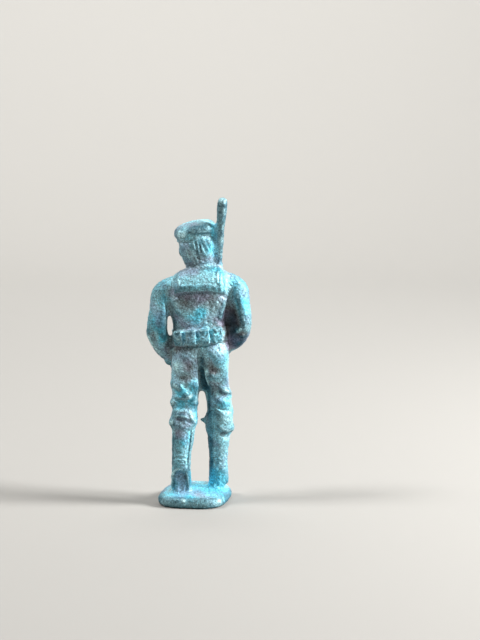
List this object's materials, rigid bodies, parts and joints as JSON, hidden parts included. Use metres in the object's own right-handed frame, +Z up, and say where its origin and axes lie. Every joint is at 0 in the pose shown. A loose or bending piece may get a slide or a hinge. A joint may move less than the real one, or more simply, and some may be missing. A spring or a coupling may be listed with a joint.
{
  "type": "toy sailor figure",
  "caption": "Small cast-metal toy sailor marching with a rifle at the right shoulder, in a flat cap, square collar, pouch belt, bloused trousers and leggings, on a rounded oblong base.",
  "frame": {"origin": "middle of the base's flat underside", "axes": "+Z up the figure, -Y the way that it faces, +X towards its left hand"},
  "size_m": [0.0146, 0.0118, 0.0433],
  "materials": {
    "patinated_uniform": "cast metal with worn grey-green patina",
    "patinated_skin": "cast metal with worn grey-green patina",
    "patinated_equipment": "cast metal with darker grey patina",
    "patinated_base": "cast metal with blue-green verdigris"
  },
  "bodies": {
    "root": {"jumper": "patinated_uniform", "collar": "patinated_uniform", "neckerchief": "patinated_uniform", "left_sleeve": "patinated_uniform", "right_sleeve": "patinated_uniform", "left_cuff": "patinated_uniform", "right_cuff": "patinated_uniform", "trouser_yoke": "patinated_uniform", "left_trouser_leg": "patinated_uniform", "right_trouser_leg": "patinated_uniform", "left_legging": "patinated_uniform", "right_legging": "patinated_uniform", "cap_band": "patinated_uniform", "cap_crown": "patinated_uniform", "head": "patinated_skin", "hair": "patinated_skin", "left_hand": "patinated_skin", "right_hand": "patinated_skin", "cartridge_belt": "patinated_equipment", "belt_buckle": "patinated_equipment", "rifle_stock": "patinated_equipment", "rifle_barrel": "patinated_equipment", "left_shoe": "patinated_equipment", "right_shoe": "patinated_equipment", "back_pouch_1": "patinated_equipment", "back_pouch_2": "patinated_equipment", "back_pouch_3": "patinated_equipment", "back_pouch_4": "patinated_equipment", "left_front_pouch_1": "patinated_equipment", "left_front_pouch_2": "patinated_equipment", "right_front_pouch_1": "patinated_equipment", "right_front_pouch_2": "patinated_equipment", "base": "patinated_base"}
  },
  "joints": []
}
